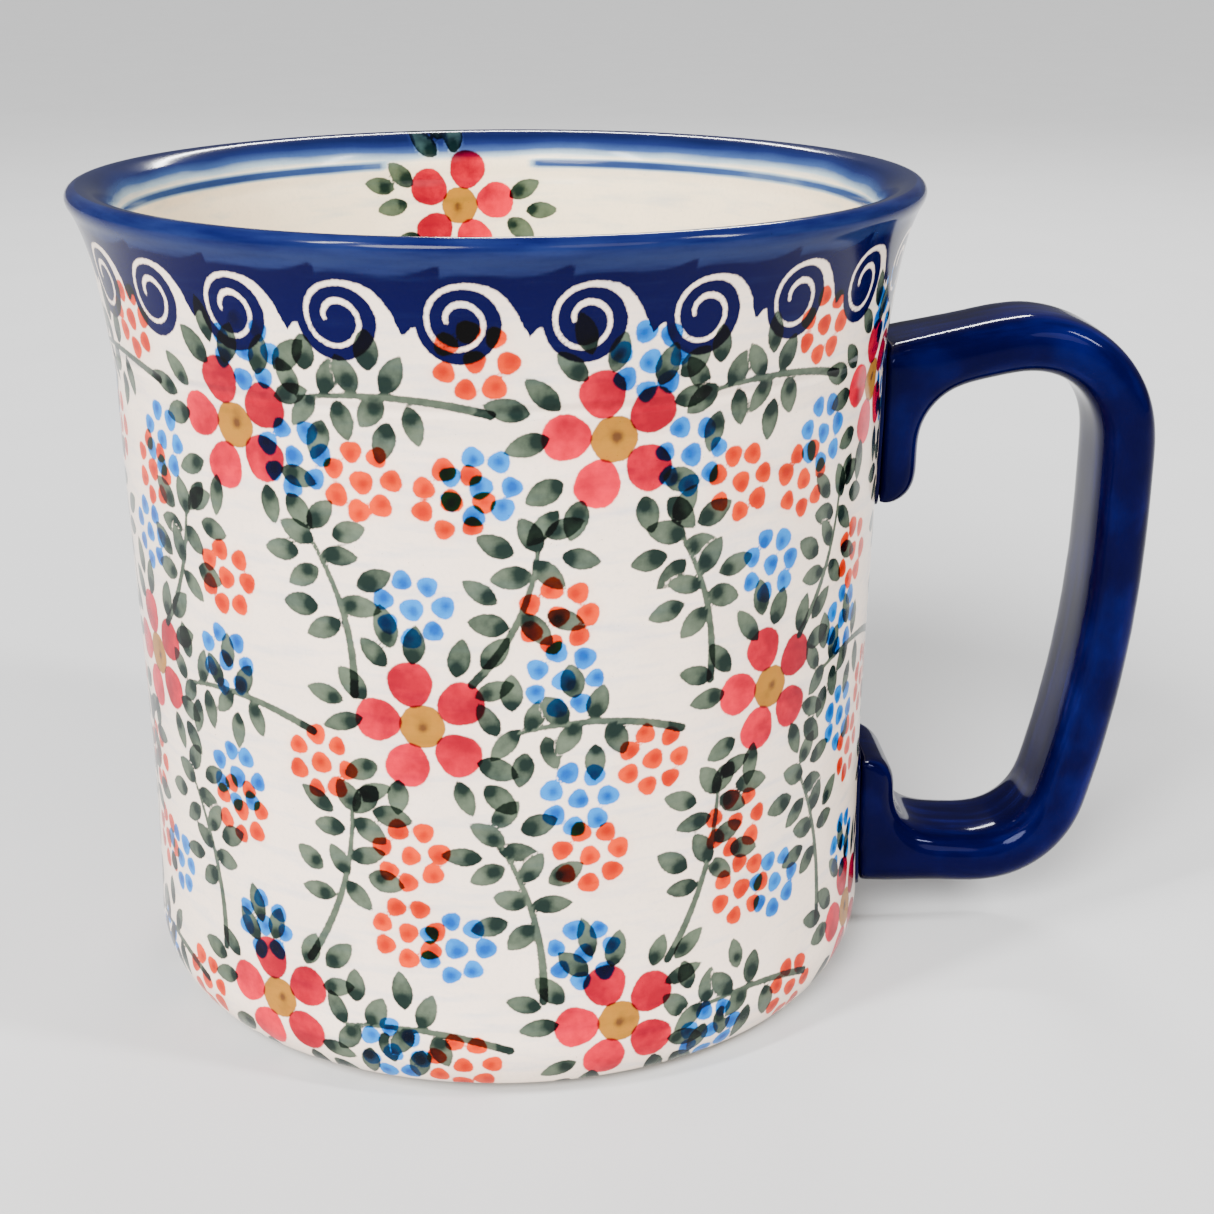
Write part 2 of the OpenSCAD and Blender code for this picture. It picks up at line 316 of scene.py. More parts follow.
# height and phase of the three rows of flowers, after the photo
FLOWER_ROWS = ((77, 14), (46, -11.7), (9.5, 15))
# one cell between flowers, at round values after one part of the photo's wall, repeated all the
# way round: dot rings (angle, height), and stems (row of flowers, start angle and height from the
# flower, end angle and height from it, rise)
ORANGE_CELL = ((-4, 85), (-20, 71.5), (-8, 70), (9, 58.5), (-29, 40), (-16, 31.5), (11, 31), (-15, 21),
               (-5, 5.5))
BLUE_CELL = ((16, 85), (-28, 74), (-3, 73), (-12, 60), (8, 50), (7, 37), (-8, 20), (12, 19), (-19, 5))
SPRIG_CELL = ((77, 9, -10, 15, -28, 1.6), (77, -11, -10, -20, -26, 1.6), (77, 11, 4, 36, 3, 1.1),
               (46, -10, -9, -18, -30, 1.7), (46, 8, -12, 15, -33, 1.7), (46, 11, -1, 36, -2, 1.7),
               (9.5, 11, -1, 35, -2.5, 1.3))
# how far off its mark a dot ring may stray, in degrees and mm, and the start of a stem, in degrees
RING_STRAY, STEM_STRAY = (2.5, 1.2), 1.5
# the middle of the handle, and how far flowers and the other marks keep from it, in degrees
HANDLE_ANGLE, FLOWER_CLEAR, MARK_CLEAR = 90, 9, 14
# how far marks keep above and below a foot of the handle, in mm
FOOT_MARGIN = 2.5
# the one flower inside, on the far wall, and how far from it the thin line stops, in degrees
INNER_FLOWER = (-172.5, 88.3)
LINE_GAP = 12.5
# depth below the crest, in mm: of the end of the wash inside, and of the thin line
WASH_END, LINE_DEPTH = 3.5, 4.1
# how much of the wash was wiped away where leaves reach into it
WIPED = 0.7
# the scroll border under the collar's solid band: number, phase, height and radius of the scrolls
SCROLLS = 24
SCROLL_PHASE = -5.0
SCROLL_Z = 89.5
DISC = 4.3
# the solid band starts this far above the scrolls' middle, and is palest this far above it
BAND_FROM, BAND_PALEST = 5.2, 6.0
# how much paler the band is than the scrolls, how much more where it is palest, and the width of
# the step from the one to the other, in mm
BAND_PALER, HALO_PALER, CREST_STEP = 0.38, 0.42, 0.35
# the white line of a scroll: degrees travelled clockwise from the left, radius and width
SPIRAL = ((0, 1.15, 0.4), (90, 1.9, 0.65), (180, 2.45, 0.5), (270, 2.75, 0.46), (360, 3.05, 0.48),
          (450, 3.7, 0.55), (495, 4.3, 0.75), (540, 4.9, 1.2), (565, 5.3, 1.5))
# lower edge of the navy between two scrolls, from the top of one towards the next
WAVE = ((0, 4.1), (1.6, 4.05), (3, 3.75), (4.1, 3.1), (5.0, 2.1), (5.7, 1.0), (6.3, -0.2), (6.8, -1.5),
        (7.15, -1.2), (7.7, -0.6), (12.5, 0))
# top of the dark scrolls against the paler band, in pitches from one scroll to the next: a low
# swell that rises to a small hooked crest just before the next scroll
CREST = ((0, 4.75), (0.2, 4.7), (0.4, 4.45), (0.58, 4.6), (0.72, 5.0), (0.84, 5.6), (0.865, 5.55),
         (0.88, 4.5), (0.93, 4.65), (1, 4.75))


def wrapped(angle):
    return (angle + 180.0) % 360.0 - 180.0


def clear_of(angle, z, feet, reach):
    """Whether a place keeps its distance from the feet of the handle."""
    beside = abs(wrapped(angle) - HANDLE_ANGLE) < reach
    return not (beside and any(low < z < high for low, high in feet))


def repeated(places, dice):
    """Repeats the places of one cell round the wall, each a little off its mark."""
    for k in range(PER_ROW):
        for angle, z in places:
            turn, rise = (dice.uniform(-stray, stray) for stray in RING_STRAY)
            yield wrapped(angle + k * CELL + turn), z + rise


def paint_wall(canvas, feet):
    """The whole outside: flowers, dot clusters and sprigs, then the scroll border and its band."""
    hand = Painter(canvas, 11)
    dice = random.Random(5)
    for z, phase in FLOWER_ROWS:
        for k in range(PER_ROW):
            angle = wrapped(phase + k * CELL)
            if clear_of(angle, z, feet, FLOWER_CLEAR):
                hand.flower(angle, z)
    for ink, cell in (("orange", ORANGE_CELL), ("blue", BLUE_CELL)):
        for angle, z in repeated(cell, dice):
            if clear_of(angle, z, feet, MARK_CLEAR):
                hand.cluster(ink, angle, z)
    sprigs = []
    for row_z, da, dz, ea, ez, bow in SPRIG_CELL:
        phase = dict(FLOWER_ROWS)[row_z]
        for k in range(PER_ROW):
            start = wrapped(phase + k * CELL) + da + dice.uniform(-STEM_STRAY, STEM_STRAY)
            sprigs.append((start, row_z + dz, start + ea - da, row_z + ez, bow))
    free = [((a0, z0), (a1, z1), bow) for a0, z0, a1, z1, bow in sprigs
            if clear_of(a0, z0, feet, MARK_CLEAR) and clear_of(a1, z1, feet, MARK_CLEAR)]
    for brush in (hand.sprig_leaves, hand.sprig_stem):
        for start, end, bow in free:
            brush(start, end, bow)
    paint_border(canvas)


def spiral_line(x, y):
    """How far a point lies inside the white line of a scroll."""
    travel = np.linspace(0, SPIRAL[-1][0], 240)
    knots = np.array(SPIRAL)
    radius = np.interp(travel, knots[:, 0], knots[:, 1])
    half = np.interp(travel, knots[:, 0], knots[:, 2]) / 2
    px, py = radius * np.cos(np.radians(180 - travel)), radius * np.sin(np.radians(180 - travel))
    inside = np.full(x.shape, FAR)
    for i in range(len(travel)):
        inside = np.maximum(inside, half[i] - np.hypot(x - px[i], y - py[i]))
    return inside


def paint_border(canvas):
    """Navy scrolls with a white line, spikes between them and a solid band up to the lip."""
    pitch = 360.0 / SCROLLS
    knots = np.array(WAVE)
    dice = random.Random(3)
    for k in range(SCROLLS):
        angle = SCROLL_PHASE + k * pitch + dice.uniform(-0.35, 0.35)
        cells, x, y = canvas.window(angle, SCROLL_Z + dice.uniform(-0.15, 0.15), 9.0)
        lower = np.interp(x, knots[:, 0], knots[:, 1])
        steep = np.interp(x, knots[:-1, 0], np.abs(np.diff(knots[:, 1]) / np.diff(knots[:, 0])))
        below = (y - lower) / np.hypot(1, steep)
        # left of the scroll the navy of the one before takes over
        before = (y - np.interp(x + math.radians(pitch) * canvas.radius[cells[0]],
                                knots[:, 0], knots[:, 1])) / 1.2
        wave = np.where(x >= 0, below, np.maximum(before, np.where(y > DISC, y - DISC, FAR)))
        navy = np.maximum(DISC - np.hypot(x, y), wave)
        navy = np.minimum(navy, -spiral_line(x, y))
        field = canvas.inside["navy"]
        own = np.abs(x) <= math.radians(pitch) * canvas.radius[cells[0]] / 2 + 0.01
        reach = own | (x > 0) & (x < 8.3) & (y > -3)
        field[cells] = np.where(reach, np.where(own, navy, np.maximum(field[cells], navy)), field[cells])
    for i, z in enumerate(canvas.height):
        if z > SCROLL_Z + BAND_FROM:
            canvas.inside["navy"][i] = 2.0
    # the band is a lighter wash than the scrolls, whose dark tops rise into it like waves
    share = (canvas.angle - SCROLL_PHASE) / pitch % 1.0
    crest = SCROLL_Z + np.interp(share, *np.array(CREST).T)
    light = (canvas.height[:, None] - crest[None, :]) / CREST_STEP
    halo = np.exp(-(canvas.height[:, None] - SCROLL_Z - BAND_PALEST) ** 2)
    canvas.tone["navy"] = 1 - (BAND_PALER + HALO_PALER * halo) * np.clip(light, 0, 1)


def paint_inside(canvas):
    """The inside: a cobalt wash that fades below the lip, a thin line, one flower on the far wall."""
    z, angle = canvas.height[:, None], np.radians(canvas.angle)[None, :]
    sway = 0.18 * np.sin(3 * angle + 1) + 0.12 * np.sin(7 * angle) + 0.06 * np.sin(19 * angle + 2)
    top = canvas.height.max()
    canvas.wash = np.clip((z - (top - WASH_END) - sway) / 2.9, 0, 1) ** 1.1
    gap = np.abs(np.degrees(np.angle(np.exp(1j * (angle - math.radians(INNER_FLOWER[0]))))))
    line = np.exp(-((z - (top - LINE_DEPTH) - 0.3 * sway) / 0.55) ** 4)
    line *= 0.5 + 0.1 * np.sin(5 * angle + 0.4)
    canvas.wash = np.maximum(canvas.wash, line * np.clip((gap - LINE_GAP) / 2, 0, 1))
    hand = Painter(canvas, 21)
    hand.flower(*INNER_FLOWER, leaves=False)
    for away in (75, 15, 183, -48, -120):
        hand.triplet("leaf", *hand.offset(*INNER_FLOWER, away, 7.1), away)
    # the wash was wiped thin where the leaves reach into it
    canvas.wash *= 1 - WIPED * np.clip((canvas.inside["leaf"] + 0.15) / 0.5, 0, 1)


# ---------------------------------------------------------------- the pieces

# columns round the wall, the inside and the clay, and round and across the disc of the floor
WALL_COLUMNS, INSIDE_COLUMNS, CLAY_COLUMNS, DISC_COLUMNS, DISC_RINGS = 900, 540, 256, 180, 24
# distance between rows of the wall and of the inside, in mm
WALL_STEP, INSIDE_STEP = 0.34, 0.5
# the hem that closes the wall's glaze underneath: offsets of its rows from the lower edge, in mm
HEM = ((-0.35, -0.002), (-0.12, -0.001))
# the clay lies this far under the glaze, in mm, and keeps one row of the glaze in so many
UNDER_GLAZE, CLAY_ROWS = 0.3, 3
# radius of the pinhole at the middle of the clay's floor, in mm
PINHOLE = 0.001
# size in mm of the cubes that a fused skin is remeshed with, and how often it is smoothed
HANDLE_VOXEL, HANDLE_PASSES = 0.45, 16
BEAD_VOXEL, BEAD_PASSES = 0.25, 4
# where the rounder section of the strap starts and is in full, in mm from the axis, and the
# passes that round it
BOW_START, BOW_FULL, BOW_PASSES = 49, 56, 110
def turned_skin(name, rows, columns, first, last, layers):
    """A sheet of a turned surface from one column to another, with its ink fields."""
    picks = np.arange(first, last + 1)
    at = np.radians(360.0 * picks / columns - 180.0)
    r, z = rows[:, 0:1], rows[:, 1:2]
    co = np.stack((r * np.sin(at), -r * np.cos(at), z + 0 * at), axis=-1)
    slope = np.gradient(rows, axis=0)
    slope /= np.hypot(*slope.T)[:, None]
    out, up = slope[:, 1:2], -slope[:, 0:1]
    normal = np.stack((out * np.sin(at), -out * np.cos(at), up + 0 * at), axis=-1)
    n, m = co.shape[:2]
    index = np.arange(n * m).reshape(n, m)
    faces = np.stack((index[:-1, :-1], index[:-1, 1:], index[1:, 1:], index[1:, :-1]), -1).reshape(-1, 4)
    mesh = bpy.data.meshes.new(name)
    mesh.from_pydata((co.reshape(-1, 3) * MM).tolist(), [], faces.tolist())
    mesh.shade_smooth()
    for layer in LAYERS:
        values = layers[layer][:, picks % columns]
        mesh.attributes.new(layer, "FLOAT", "POINT").data.foreach_set(
            "value", np.ascontiguousarray(values, np.float32).ravel())
    along = np.concatenate(([0], np.cumsum(np.hypot(*np.diff(rows, axis=0).T))))
    u = np.broadcast_to(np.linspace(0.005, 0.995, m)[None, :], (n, m))
    v = np.broadcast_to((0.005 + 0.99 * along / along[-1])[:, None], (n, m))
    uv = np.stack((u, v), -1).reshape(-1, 2)
    mesh.uv_layers.new(name="OFBake").data.foreach_set("uv", uv[faces.ravel()].ravel().astype(np.float32))
    mesh.normals_split_custom_set_from_vertices(normal.reshape(-1, 3).tolist())
    return place(name, mesh)


def place(name, mesh):
    piece = bpy.data.objects.new(name, mesh)
    bpy.context.scene.collection.objects.link(piece)
    return piece


def layers_of(canvas):
    """The fields of a canvas under the names that the material reads."""
    named = dict(canvas.inside)
    named.update({ink + "_tone": tone for ink, tone in canvas.tone.items()})
    named["wash"] = getattr(canvas, "wash", np.zeros_like(canvas.inside["navy"]))
    return named


def feet_of_handle():
    """Lower and upper height of each foot's joint, a little widened."""
    for node in ("upper_slip_joint", "lower_slip_joint"):
        low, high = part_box(node)
        yield low.z / MM - FOOT_MARGIN, high.z / MM + FOOT_MARGIN


def outer_skin(material):
    """The painted outside glaze in three sectors, from its lower edge over the collar to the crest."""
    rows = smooth_rows(rings_of("outer_glaze", 1), WALL_STEP)
    rows = np.vstack((rows[0] + np.array(HEM), rows))
    columns = WALL_COLUMNS
    canvas = Canvas(rows, columns)
    paint_wall(canvas, list(feet_of_handle()))
    third = columns // 3
    for k in range(3):
        first = columns // 2 - third // 2 + k * third
        piece = turned_skin(f"wall_glaze_{k + 1}", rows, columns, first, first + third, layers_of(canvas))
        finish_piece(piece, material, "painted_glaze", "outer_glaze")
    return rows[len(HEM):]


def inner_skin(material):
    """The glaze inside, in three sectors of wall and one disc of floor."""
    rows = smooth_rows(rings_of("inner_glaze", -1)[::-1], INSIDE_STEP)
    columns = INSIDE_COLUMNS
    canvas = Canvas(rows, columns)
    paint_inside(canvas)
    third = columns // 3
    for k in range(3):
        first = -third // 2 + k * third
        piece = turned_skin(f"inside_glaze_{k + 1}", rows, columns, first, first + third, layers_of(canvas))
        finish_piece(piece, material, "cream_glaze", "inner_glaze")
    disc(*rows[-1], material)
    return rows


def disc(radius, z, material):
    """The round of glaze on the floor inside, in rings round one middle vertex."""
    count, steps = DISC_COLUMNS, DISC_RINGS
    at = 2 * math.pi * np.arange(count) / count - math.pi
    co = [(0.0, 0.0, z * MM)]
    for i in range(1, steps + 1):
        r = radius * i / steps * MM
        co.extend(zip(r * np.sin(at), -r * np.cos(at), np.full(count, z * MM)))
    faces = [(0, 1 + j, 1 + (j + 1) % count) for j in range(count)]
    for i in range(steps - 1):
        a, b = 1 + i * count, 1 + (i + 1) * count
        faces.extend((a + j, b + j, b + (j + 1) % count, a + (j + 1) % count) for j in range(count))
    mesh = bpy.data.meshes.new("floor_glaze")
    mesh.from_pydata([tuple(map(float, p)) for p in co], [], faces)
    mesh.shade_smooth()
    for layer in LAYERS:
        far = FAR if layer in INKS else 0.0
        mesh.attributes.new(layer, "FLOAT", "POINT").data.foreach_set(
            "value", np.full(len(co), far, np.float32))
    finish_piece(place("floor_glaze", mesh), material, "cream_glaze", "inner_glaze")


def set_in(rows, depth):
    """Rows moved to the left of their own direction by a depth in mm."""
    way = np.gradient(rows, axis=0)
    way /= np.hypot(*way.T)[:, None]
    return rows + depth * np.column_stack((-way[:, 1], way[:, 0]))


def clay_body(outer, inner, material):
    """The clay: the bare foot as in the CAD, and the wall just under both coats of glaze."""
    foot = rings_of("cup_body", 1)
    foot = foot[foot[:, 1] < outer[0, 1]]
    recess = rings_of("cup_body", -1)
    recess = recess[recess[:, 1] < foot_depth() + 0.05]
    profile = np.vstack(([[PINHOLE, recess[-1, 1]]], recess[::-1], foot,
                         set_in(outer, UNDER_GLAZE)[::CLAY_ROWS], set_in(inner, UNDER_GLAZE)[::CLAY_ROWS],
                         [[PINHOLE, inner[-1, 1] - UNDER_GLAZE]]))
    columns = CLAY_COLUMNS
    at = 2 * math.pi * np.arange(columns) / columns
    co = np.stack((profile[:, :1] * np.sin(at), -profile[:, :1] * np.cos(at), profile[:, 1:] + 0 * at), -1)
    faces = []
    for i in range(len(profile) - 1):
        a, b = i * columns, (i + 1) * columns
        faces.extend((a + j, a + (j + 1) % columns, b + (j + 1) % columns, b + j) for j in range(columns))
    mesh = bpy.data.meshes.new("clay_body")
    mesh.from_pydata((co.reshape(-1, 3) * MM).tolist(), [], faces)
    mesh.shade_smooth()
    finish_piece(place("clay_body", mesh), material, "clay", "cup_body")


def foot_depth():
    """Height of the recess inside the foot ring, read from the glaze that lies in it."""
    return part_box("base_glaze")[1].z / MM


def finish_piece(piece, material, slot, *nodes):
    """Gives a piece its material, hangs it under the root body and hides the CAD parts that it stands for.
    """
    piece.data.materials.clear()
    piece.data.materials.append(material)
    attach(piece, "root")
    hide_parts(*nodes)


def applied(piece):
    """Turns the piece's modifiers into its mesh."""
    evaluated = piece.evaluated_get(bpy.context.evaluated_depsgraph_get())
    made = bpy.data.meshes.new_from_object(evaluated)
    piece.modifiers.clear()
    piece.data = made
    made.name = piece.name


def rounded_copy(name, nodes, voxel, passes):
    """One soft skin round copies of CAD parts: fused, remeshed and smoothed."""
    co, faces = [], []
    for node in nodes:
        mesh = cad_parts[node].data
        base = len(co)
        co.extend(v.co[:] for v in mesh.vertices)
        faces.extend(tuple(base + i for i in p.vertices) for p in mesh.polygons)
    mesh = bpy.data.meshes.new(name)
    mesh.from_pydata(co, [], faces)
    piece = place(name, mesh)
    remesh = piece.modifiers.new("fuse", "REMESH")
    remesh.mode, remesh.voxel_size, remesh.use_smooth_shade = "VOXEL", voxel * MM, True
    smooth = piece.modifiers.new("soften", "SMOOTH")
    smooth.factor, smooth.iterations = 0.5, passes
    applied(piece)
    piece.data.shade_smooth()
    return piece


def soften_bow(piece, start, full, passes):
    """Rounds the strap's section further out than its feet: from x = start, in full from x = full."""
    bow = piece.vertex_groups.new(name="bow")
    for vertex in piece.data.vertices:
        share = (vertex.co.x / MM - start) / (full - start)
        if share > 0:
            bow.add([vertex.index], min(share, 1.0), "REPLACE")
    smooth = piece.modifiers.new("soften", "SMOOTH")
    smooth.factor, smooth.iterations, smooth.vertex_group = 0.5, passes, "bow"
    applied(piece)
    piece.vertex_groups.clear()


# ---------------------------------------------------------------- materials

def linear(code):
    """The linear colour of a six-digit colour code."""
    values = [int(code[i:i + 2], 16) / 255 for i in (0, 2, 4)]
    return tuple(v / 12.92 if v <= 0.04045 else ((v + 0.055) / 1.055) ** 2.4 for v in values) + (1.0,)


class Shade:
    """Builds one glossy material from short calls."""

    def __init__(self, name):
        self.material = bpy.data.materials.new(name)
        self.material.use_nodes = True
        self.tree = self.material.node_tree
        self.surface = self.tree.nodes["Principled BSDF"]
        self.where = self.add("ShaderNodeTexCoord").outputs["Object"]

    def add(self, kind, **settings):
        made = self.tree.nodes.new(kind)
        for key, value in settings.items():
            setattr(made, key, value)
        return made

    def put(self, value, socket):
        """Links an output to a socket, or sets the socket to a constant."""
        if isinstance(value, bpy.types.NodeSocket):
            self.tree.links.new(value, socket)
        else:
            socket.default_value = value

    def layer(self, name):
        return self.add("ShaderNodeAttribute", attribute_name=name).outputs["Fac"]

    def noise(self, size, detail=2.0, stretch=(1, 1, 1)):
        """Noise between 0 and 1 with features of about the given size in mm, longer where stretched."""
        mapping = self.add("ShaderNodeMapping")
        self.put(self.where, mapping.inputs["Vector"])
        mapping.inputs["Scale"].default_value = [1 / (size * MM * s) for s in stretch]
        noise = self.add("ShaderNodeTexNoise")
        self.put(mapping.outputs["Vector"], noise.inputs["Vector"])
        noise.inputs["Scale"].default_value = 1.0
        noise.inputs["Detail"].default_value = detail
        return noise.outputs["Fac"]

    def math(self, operation, a, b=0.0, c=0.0):
        made = self.add("ShaderNodeMath", operation=operation)
        for value, socket in zip((a, b, c), made.inputs):
            self.put(value, socket)
        return made.outputs[0]

    def ramp(self, value, low, high, to_low=0.0, to_high=1.0):
        made = self.add("ShaderNodeMapRange", interpolation_type="SMOOTHSTEP")
        for v, key in zip((value, low, high, to_low, to_high),
                          ("Value", "From Min", "From Max", "To Min", "To Max")):
            self.put(v, made.inputs[key])
        return made.outputs["Result"]

    def mix(self, share, a, b, blend="MIX"):
        made = self.add("ShaderNodeMix", data_type="RGBA", blend_type=blend)
        self.put(share, made.inputs[0])
        self.put(a, made.inputs[6])
        self.put(b, made.inputs[7])
        return made.outputs[2]

    def bands(self, value, stops):
        """A colour from a row of (position, colour) stops."""
        made = self.add("ShaderNodeValToRGB")
        self.put(value, made.inputs["Fac"])
        elements = made.color_ramp.elements
        while len(elements) < len(stops):
            elements.new(0.5)
        for element, (position, colour) in zip(elements, stops):
            element.position, element.color = position, colour
        return made.outputs["Color"]

    def dress(self, colour, roughness, bump=None, height=0.02, shine=0.5):
        """Sets the surface: colour, roughness, a bump of the given height in mm, and the shine."""
        self.put(colour, self.surface.inputs["Base Color"])
        self.put(roughness, self.surface.inputs["Roughness"])
        self.surface.inputs["Specular IOR Level"].default_value = shine
        if bump is not None:
            made = self.add("ShaderNodeBump")
            made.inputs["Strength"].default_value = 1.0
            made.inputs["Distance"].default_value = height * MM
            self.put(bump, made.inputs["Height"])
            self.put(made.outputs["Normal"], self.surface.inputs["Normal"])
        return self.material


# the faint fold where the wall turns out into the collar: its height and half its width, in mm,
# and its depth against the glaze's own waves
COLLAR_Z, FOLD_HALF, FOLD_DEPTH = 80.3, 0.9, 14.0
# colour of the glaze on the wall, and inside
WALL_GROUND = (0.92, 0.74, 0.60)
CREAM_GROUND = (0.80, 0.66, 0.45)
# each ink: the filter colours of its thin and of its thick parts, and how soft its edge is in mm
INK_LOOKS = (("petal", (0.74, 0.004, 0.05), (0.27, 0.0005, 0.02), 0.12),
             ("orange", (0.70, 0.052, 0.0005), (0.42, 0.014, 0.0003), 0.12),
             ("blue", (0.0005, 0.25, 0.92), (0.0003, 0.075, 0.46), 0.12),
             ("eye", (0.33, 0.173, 0.021), (0.10, 0.047, 0.017), 0.10),
             ("leaf", (0.10, 0.155, 0.13), (0.0075, 0.02, 0.019), 0.10),
             ("stem", (0.10, 0.155, 0.13), (0.0075, 0.02, 0.019), 0.10),
             ("navy", (0.016, 0.034, 0.15), (0.0003, 0.0001, 0.05), 0.12))
# the cobalt wash under the lip, from none to full
WASH = ((0.0, (1, 1, 1, 1)), (0.16, (0.34, 0.55, 0.92, 1)), (0.42, (0.035, 0.085, 0.33, 1)),
        (0.72, (0.009, 0.018, 0.13, 1)), (1.0, (0.004, 0.008, 0.07, 1)))


def shade_of(colour, share=1.0):
    return tuple(v * share for v in colour) + (1.0,)


def specked(s, colour):
    """The colour with a few small iron specks."""
    specks = s.ramp(s.noise(0.28, 1.0), 0.775, 0.81, 0.0, 0.6)
    return s.mix(specks, colour, (0.45, 0.36, 0.28, 1), "MULTIPLY")


def painted(name, ground):
    """Glaze over stamped and brushed inks: the inks darken one another where they overlap."""
    s = Shade(name)
    cloud, grain, wobble = s.noise(7.0), s.noise(0.5, 4.0), s.noise(0.45)
    colour = s.mix(s.ramp(cloud, 0.35, 0.7), shade_of(ground), shade_of(ground, 0.95))
    colour = s.mix(s.ramp(grain, 0.45, 0.75, 0.0, 0.5), colour, shade_of(ground, 0.86))
    for ink, reach, tint in (("petal", 1.3, (1, 0.925, 0.93, 1)), ("orange", 1.2, (1, 0.925, 0.9, 1)),
                             ("leaf", 0.8, (0.93, 0.95, 0.93, 1)), ("blue", 0.8, (0.95, 0.975, 1, 1))):
        colour = s.mix(s.ramp(s.layer(ink), -reach, 0.1), colour, tint, "MULTIPLY")
    shake = s.math("MULTIPLY_ADD", wobble, 0.2, -0.1)
    bloom = s.math("MULTIPLY_ADD", s.noise(1.3, 3.0), 0.7, -0.35)
    brushed = s.math("MULTIPLY_ADD", s.noise(1.1, 3.0, (9, 9, 1)), 0.9, -0.45)
    for ink, pale, dark, soft in INK_LOOKS:
        inside = s.math("ADD", s.layer(ink), shake)
        tone = s.math("ADD", s.layer(ink + "_tone"), brushed if ink == "navy" else bloom)
        ink_colour = s.mix(s.ramp(tone, 0.0, 1.0), shade_of(pale), shade_of(dark))
        colour = s.mix(s.ramp(inside, -soft, soft), colour, ink_colour, "MULTIPLY")
    wash = s.math("MULTIPLY_ADD", s.noise(1.4, 3.0, (6, 6, 1)), 0.22, s.layer("wash"))
    wash = s.math("SUBTRACT", wash, 0.11)
    colour = s.mix(1.0, colour, s.bands(wash, WASH), "MULTIPLY")
    colour = specked(s, colour)
    height = s.add("ShaderNodeSeparateXYZ")
    s.put(s.where, height.inputs["Vector"])
    fold = s.math("ABSOLUTE", s.math("SUBTRACT", height.outputs["Z"], COLLAR_Z * MM))
    relief = s.math("ADD", s.noise(2.6, 1.0), s.ramp(fold, 0.0, FOLD_HALF * MM, -FOLD_DEPTH, 0.0))
    return s.dress(colour, 0.12, relief, 0.010, 0.08)


def cobalt(name):
    """Deep cobalt glaze with brushed streaks along the strap, paler where it runs thin."""
    s = Shade(name)
    streaks = s.noise(1.5, 4.0, (10, 1, 10))
    clouds = s.noise(9.0, 3.0)
    s.surface.inputs["Specular Tint"].default_value = (0.42, 0.48, 0.85, 1)
    depth = s.math("ADD", s.math("MULTIPLY", streaks, 0.65), s.math("MULTIPLY", clouds, 0.45))
    colour = s.bands(depth, ((0.34, (0.0006, 0.0002, 0.008, 1)), (0.54, (0.0009, 0.0004, 0.018, 1)),
                             (0.66, (0.0016, 0.0016, 0.036, 1)), (0.82, (0.005, 0.007, 0.085, 1))))
    return s.dress(colour, 0.09, s.noise(3.5, 2.0, (3, 1, 3)), 0.02, 0.07)


def plain_glaze(name, ground):
    """The glaze with nothing painted under it: a little cloudy, with a few iron specks."""
    s = Shade(name)
    colour = s.mix(s.ramp(s.noise(7.0), 0.35, 0.7), shade_of(ground), shade_of(ground, 0.9))
    return s.dress(specked(s, colour), 0.15, s.noise(2.6, 1.0), 0.012, 0.1)


def bare_clay(name):
    """Unglazed stoneware: buff, a little sandy, with darker grains."""
    s = Shade(name)
    colour = s.mix(s.ramp(s.noise(5.0, 3.0), 0.35, 0.7), linear("D9C8AE"), linear("C6B092"))
    colour = s.mix(s.ramp(s.noise(0.4, 2.0), 0.66, 0.78, 0.0, 0.7), colour, linear("7D6346"))
    return s.dress(colour, 0.82, s.noise(0.5, 4.0), 0.06)


# ---------------------------------------------------------------- the set

# half the side of the floor, in metres
FLOOR_HALF = 6.0
# name, place, width and height in metres, power in watts
LAMPS = (("window_left", (-0.45, -0.35, 0.65), 0.06, 0.25, 9.0),
         ("window_right", (0.55, -0.25, 0.6), 0.06, 0.25, 7.0),
         ("window_back", (0.1, 0.7, 0.55), 0.3, 0.03, 5.0))
# name, direction it comes from, angle across in degrees, strength
SUNS = (("sky_left", (-0.45, -1.0, 0.8), 25, 8.4), ("sky_right", (0.5, -0.9, 0.7), 25, 1.0))
# the camera, fitted to the mug's outline in the photo: place in metres, direction, lens in mm
CAMERA_AT = (0.0, -0.24035, 0.12777)
CAMERA_LOOKS = (0.04975, 0.94246, -0.33061)
CAMERA_LENS = 59.38

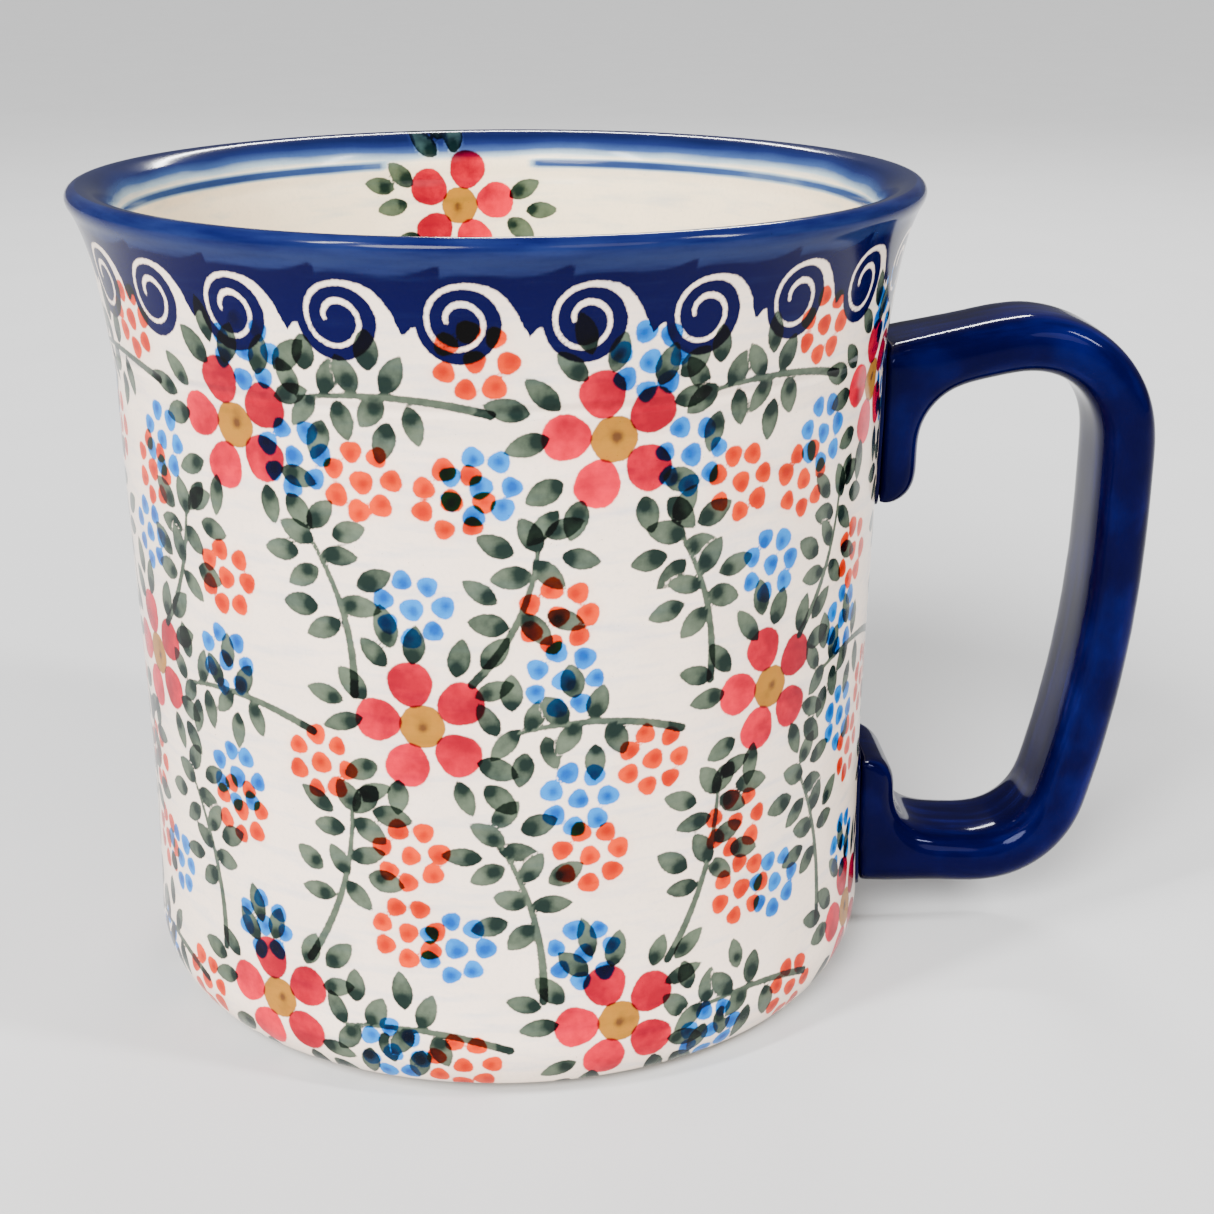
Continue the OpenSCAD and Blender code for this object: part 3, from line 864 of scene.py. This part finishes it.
def set_stage():
    """A plain pale floor and soft white light."""
    low, high = size_at_load
    middle = (Vector(low) + Vector(high)) / 2
    mesh = bpy.data.meshes.new("floor")
    half = FLOOR_HALF
    mesh.from_pydata([(-half, -half, 0), (half, -half, 0), (half, half, 0), (-half, half, 0)], [],
                     [(0, 1, 2, 3)])
    floor = place("floor", mesh)
    s = Shade("pale_floor")
    mesh.materials.append(s.dress(s.mix(s.noise(40.0), (0.46, 0.46, 0.46, 1), (0.49, 0.49, 0.49, 1)), 0.9))
    world = bpy.data.worlds.new("studio")
    bpy.context.scene.world = world
    world.use_nodes = True
    world.node_tree.nodes["Background"].inputs["Color"].default_value = (0.97, 0.985, 1.0, 1)
    world.node_tree.nodes["Background"].inputs["Strength"].default_value = 0.22
    for name, at, wide, tall, watts in LAMPS:
        data = bpy.data.lights.new(name, "AREA")
        data.shape, data.size, data.size_y, data.energy = "RECTANGLE", wide, tall, watts
        hang(name, data, at, middle)
    for name, at, angle, strength in SUNS:
        data = bpy.data.lights.new(name, "SUN")
        data.angle, data.energy = math.radians(angle), strength
        hang(name, data, at, middle)


def hang(name, data, at, middle):
    lamp = bpy.data.objects.new(name, data)
    bpy.context.scene.collection.objects.link(lamp)
    lamp.location = at
    lamp.rotation_euler = (middle - Vector(at)).to_track_quat("-Z", "Y").to_euler()


def set_camera():
    """The photo's own viewpoint: close to the mug, looking down at it and a little to the right."""
    data = bpy.data.cameras.new("camera")
    data.lens, data.sensor_width, data.clip_start = CAMERA_LENS, 36.0, 0.01
    camera = bpy.data.objects.new("camera", data)
    bpy.context.scene.collection.objects.link(camera)
    camera.location = CAMERA_AT
    camera.rotation_euler = Vector(CAMERA_LOOKS).to_track_quat("-Z", "Y").to_euler()
    bpy.context.scene.camera = camera


def build():
    """Makes every piece, and gives the glaze disc under the floor its own material."""
    wall = painted("painted_glaze", WALL_GROUND)
    cream = painted("cream_glaze", CREAM_GROUND)
    blue = cobalt("cobalt_glaze")
    clay = bare_clay("bare_clay")
    clay_body(outer_skin(wall), inner_skin(cream), clay)
    skin = rounded_copy("handle_skin", ("handle_glaze", "handle"), HANDLE_VOXEL, HANDLE_PASSES)
    soften_bow(skin, BOW_START, BOW_FULL, BOW_PASSES)
    finish_piece(skin, blue, "cobalt_glaze", "handle_glaze", "handle")
    for node in ("upper_slip_joint", "lower_slip_joint"):
        bead = rounded_copy(node + "_bead", (node,), BEAD_VOXEL, BEAD_PASSES)
        finish_piece(bead, blue, "slip", node)
    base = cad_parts["base_glaze"].data
    base.materials.clear()
    base.materials.append(plain_glaze("base_glaze", CREAM_GROUND))


build()
set_stage()
set_camera()
